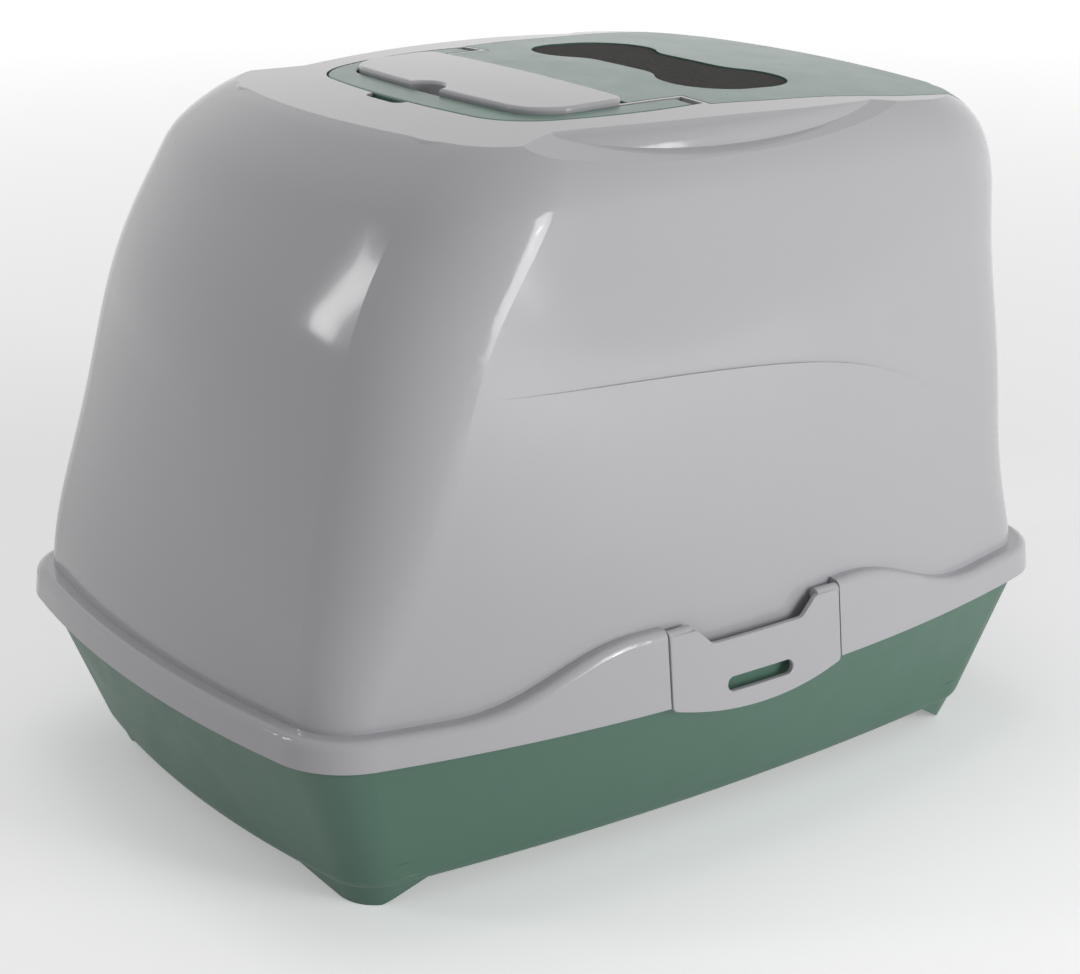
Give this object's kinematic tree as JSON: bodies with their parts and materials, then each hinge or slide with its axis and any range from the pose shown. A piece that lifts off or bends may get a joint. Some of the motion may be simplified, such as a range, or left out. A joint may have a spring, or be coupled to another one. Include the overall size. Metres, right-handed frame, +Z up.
{
  "type": "hooded litter box",
  "caption": "Enclosed cat litter tray with a lift-off hood, flip-up front with a swing door, filter window, carry handle and side clips",
  "frame": {"origin": "on the floor under the middle of the box", "axes": "+Z up, +X across, +Y along the length towards the closed rear end, so the entrance faces -Y"},
  "size_m": [0.4332, 0.574, 0.421],
  "materials": {
    "green_tray_plastic": "dark grey green moulded polypropylene, fine satin texture",
    "grey_hood_plastic": "light warm grey moulded polypropylene, semi-gloss",
    "green_top_plastic": "grey green moulded polypropylene, semi-gloss",
    "filter_foam": "black carbon-loaded fibre pad",
    "smoked_door_plastic": "smoked see-through polystyrene",
    "pin_plastic": "grey moulded plastic"
  },
  "bodies": {
    "tray": {"tray": "green_tray_plastic"},
    "hood": {"hood": "grey_hood_plastic", "handle_plate": "grey_hood_plastic"},
    "flip_front": {"flip_front": "green_top_plastic", "filter_pad": "filter_foam", "filter_grille": "green_top_plastic", "flip_pin_left": "pin_plastic", "flip_pin_right": "pin_plastic"},
    "swing_door": {"swing_door": "smoked_door_plastic", "door_pin_left": "pin_plastic", "door_pin_right": "pin_plastic"},
    "carry_handle": {"carry_handle": "green_top_plastic", "handle_pin_left": "pin_plastic", "handle_pin_right": "pin_plastic"},
    "clip_left": {"side_clip_left": "grey_hood_plastic", "clip_pin_left_front": "pin_plastic", "clip_pin_left_rear": "pin_plastic"},
    "clip_right": {"side_clip_right": "grey_hood_plastic", "clip_pin_right_front": "pin_plastic", "clip_pin_right_rear": "pin_plastic"}
  },
  "joints": [
    {"name": "hood_lift", "type": "slide", "parent": "tray", "child": "hood", "axis": [0, 0, 1], "range_m": [0, 0.24]},
    {"name": "flip_hinge", "type": "hinge", "parent": "hood", "child": "flip_front", "pos_m": [0, -0.007, 0.406], "axis": [-1, 0, 0], "range_deg": [0, 95]},
    {"name": "door_swing", "type": "hinge", "parent": "flip_front", "child": "swing_door", "pos_m": [0, -0.238, 0.3612], "axis": [1, 0, 0], "range_deg": [-70, 70]},
    {"name": "handle_hinge", "type": "hinge", "parent": "hood", "child": "carry_handle", "pos_m": [0, -0.022, 0.4107], "axis": [-1, 0, 0], "range_deg": [-90, 0]},
    {"name": "clip_left_hinge", "type": "hinge", "parent": "hood", "child": "clip_left", "pos_m": [-0.2052, 0, 0.1427], "axis": [0, 1, 0], "range_deg": [0, 95]},
    {"name": "clip_right_hinge", "type": "hinge", "parent": "hood", "child": "clip_right", "pos_m": [0.2052, 0, 0.1427], "axis": [0, -1, 0], "range_deg": [0, 95]}
  ]
}
